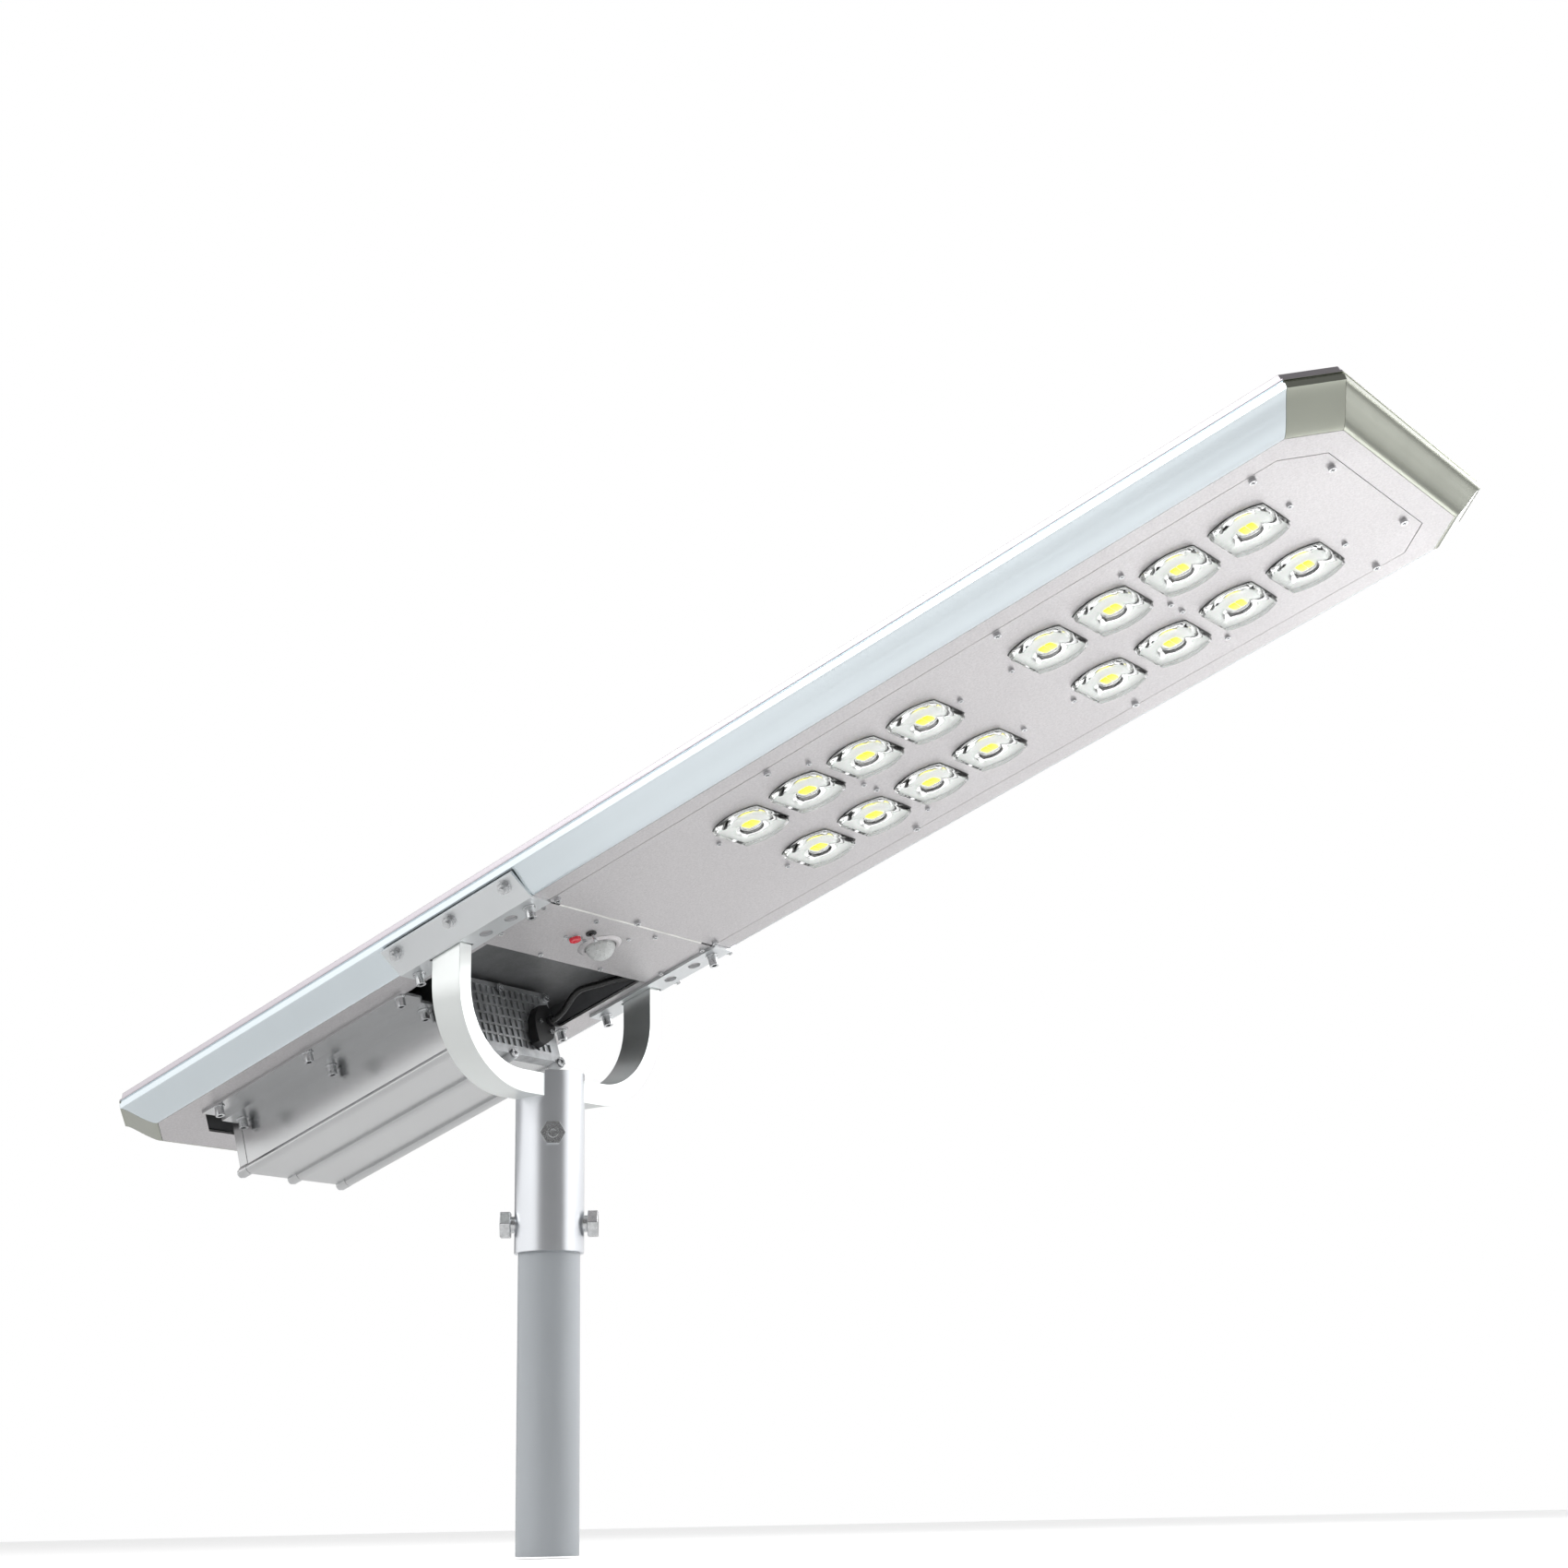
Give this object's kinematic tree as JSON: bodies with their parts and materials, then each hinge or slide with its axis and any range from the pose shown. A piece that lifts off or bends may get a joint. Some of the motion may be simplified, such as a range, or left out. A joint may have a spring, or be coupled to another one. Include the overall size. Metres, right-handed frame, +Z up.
{
  "type": "solar street lamp",
  "caption": "Long flat solar street lamp head with LED lenses, battery box and motion sensor, carried by a U yoke and sleeve on a pole top.",
  "frame": {"origin": "centre of the pole section's open lower end", "axes": "+Z up along the pole, +X along the lamp head towards its light end, +Y across the head"},
  "size_m": [1.4168, 0.355, 0.8856],
  "materials": {
    "pole_steel": "satin grey paint",
    "sleeve_aluminium": "bright anodised",
    "yoke_aluminium": "satin anodised",
    "bright_steel": "zinc plated, bright",
    "dark_steel": "dark zinc",
    "rail_aluminium": "satin anodised extrusion",
    "corner_aluminium": "satin anodised extrusion",
    "sheet_aluminium": "fine sanded sheet",
    "bracket_aluminium": "satin anodised",
    "box_aluminium": "bright anodised extrusion",
    "cast_aluminium": "cast, dark",
    "white_plastic": "matt",
    "black_plastic": "matt",
    "liner_plastic": "matt",
    "black_rubber": "matt",
    "circuit_white": "white solder mask",
    "circuit_green": "green solder mask",
    "led_phosphor": "yellow phosphor",
    "lens_clear": "clear moulded",
    "dome_milky": "milky",
    "button_red": "gloss",
    "panel_glass": "clear",
    "solar_silicon": "dark blue silicon",
    "panel_frame_aluminium": "satin anodised",
    "cell_wrap": "shrink sleeve"
  },
  "bodies": {
    "pole": {"pole_top": "pole_steel"},
    "yoke": {"yoke_sleeve": "sleeve_aluminium", "yoke_bar": "yoke_aluminium", "sleeve_cross_bolts": "bright_steel", "sleeve_lock_screw": "bright_steel"},
    "head": {"hinge_pins": "dark_steel", "side_bracket_left": "bracket_aluminium", "side_bracket_right": "bracket_aluminium", "bracket_flank_bolts": "bright_steel", "bracket_hanging_bolts": "bright_steel", "side_rail_left": "rail_aluminium", "side_rail_right": "rail_aluminium", "front_end_rail": "corner_aluminium", "rear_end_rail": "corner_aluminium", "corner_rails": "corner_aluminium", "underside_tray": "sheet_aluminium", "lens_plate": "sheet_aluminium", "lens_plate_screws": "bright_steel", "sensor_plate": "sheet_aluminium", "sensor_plate_screws": "bright_steel", "joint_strip": "white_plastic", "strip_end_plugs": "black_rubber", "heat_spreader_front": "cast_aluminium", "heat_spreader_rear": "cast_aluminium", "led_board_front": "circuit_white", "led_board_rear": "circuit_white", "led_chips": "led_phosphor", "lenses_front": "lens_clear", "lenses_rear": "lens_clear", "lens_seals": "black_rubber", "lens_screws": "bright_steel", "pir_ring": "sheet_aluminium", "pir_dome": "dome_milky", "pir_sensor": "circuit_green", "button_bezel": "bright_steel", "power_switch": "black_plastic", "toggle_bushing": "black_plastic", "charge_controller": "circuit_green", "cavity_liner": "liner_plastic", "solar_glass": "panel_glass", "solar_cells": "solar_silicon", "solar_backsheet": "black_plastic", "panel_frame": "panel_frame_aluminium", "panel_seal": "black_rubber", "battery_box": "box_aluminium", "battery_cells": "cell_wrap", "battery_holders": "black_plastic", "battery_front_cap": "cast_aluminium", "battery_rear_cap": "box_aluminium", "battery_cap_seals": "black_rubber", "battery_cap_screws": "bright_steel", "flange_bolts_outer": "bright_steel", "flange_bolts_inner": "bright_steel", "connector_cover": "black_plastic", "cable_gland": "black_plastic", "connector_cover_screws": "bright_steel", "battery_cable": "black_rubber"},
    "power_button": {"power_button": "button_red"},
    "mode_toggle": {"mode_toggle": "bright_steel"}
  },
  "joints": [
    {"name": "yoke_swivel", "type": "hinge", "parent": "pole", "child": "yoke", "pos_m": [0, 0, 0.4], "axis": [0, 0, 1], "continuous": true},
    {"name": "head_tilt", "type": "hinge", "parent": "yoke", "child": "head", "pos_m": [0, 0, 0.568], "axis": [0, 1, 0], "range_deg": [-7.5, 7.5]},
    {"name": "button_press", "type": "slide", "parent": "head", "child": "power_button", "axis": [-0.2924, 0, 0.9563], "range_m": [0, 0.0015], "stiffness_N_per_m": 400, "springref_m": -0.001},
    {"name": "toggle_tilt", "type": "hinge", "parent": "head", "child": "mode_toggle", "pos_m": [0.07572, -0.0284, 0.5854], "axis": [0, 1, 0], "range_deg": [0, 24]}
  ]
}
